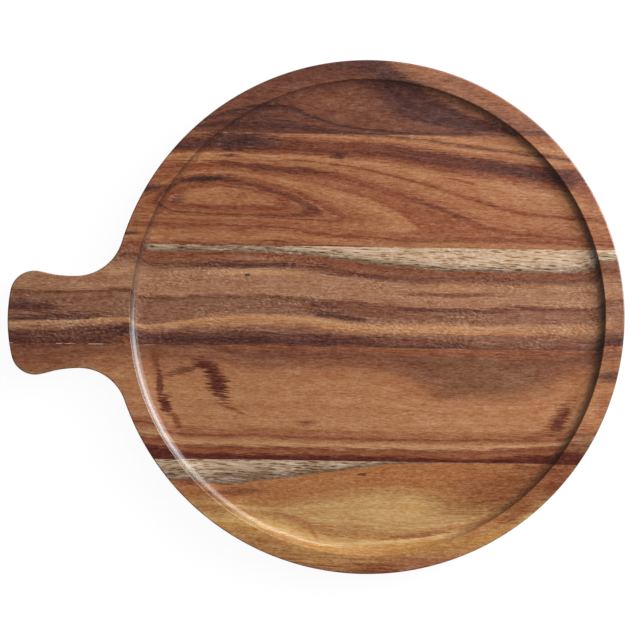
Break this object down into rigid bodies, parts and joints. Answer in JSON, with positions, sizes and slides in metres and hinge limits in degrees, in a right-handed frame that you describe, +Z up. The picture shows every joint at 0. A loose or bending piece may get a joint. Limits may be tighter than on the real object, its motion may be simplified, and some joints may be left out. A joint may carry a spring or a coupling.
{
  "type": "round serving platter",
  "caption": "Round hardwood serving platter of edge-glued staves, with a shallow routed dish inside a flat rim and a short flared grip on one side.",
  "frame": {"origin": "middle of the disc on the underside", "axes": "+X along the staves, away from the grip; +Y across the staves towards the back; +Z up, out of the dish"},
  "size_m": [0.4344, 0.362, 0.02],
  "materials": {
    "edge_stave_front": "oiled golden sapwood and brown heartwood",
    "grip_stave_front": "oiled orange-brown heartwood",
    "grip_stave_back": "oiled striped heartwood with a grey-beige sapwood edge",
    "inner_stave_back": "oiled figured heartwood",
    "edge_stave_back": "oiled dark heartwood",
    "wood_glue": "cured wood glue, sanded flush"
  },
  "bodies": {
    "root": {"edge_stave_front": "edge_stave_front", "grip_stave_front": "grip_stave_front", "grip_stave_back": "grip_stave_back", "inner_stave_back": "inner_stave_back", "edge_stave_back": "edge_stave_back", "glue_line_front": "wood_glue", "glue_line_grip": "wood_glue", "glue_line_inner": "wood_glue", "glue_line_back": "wood_glue"}
  },
  "joints": []
}
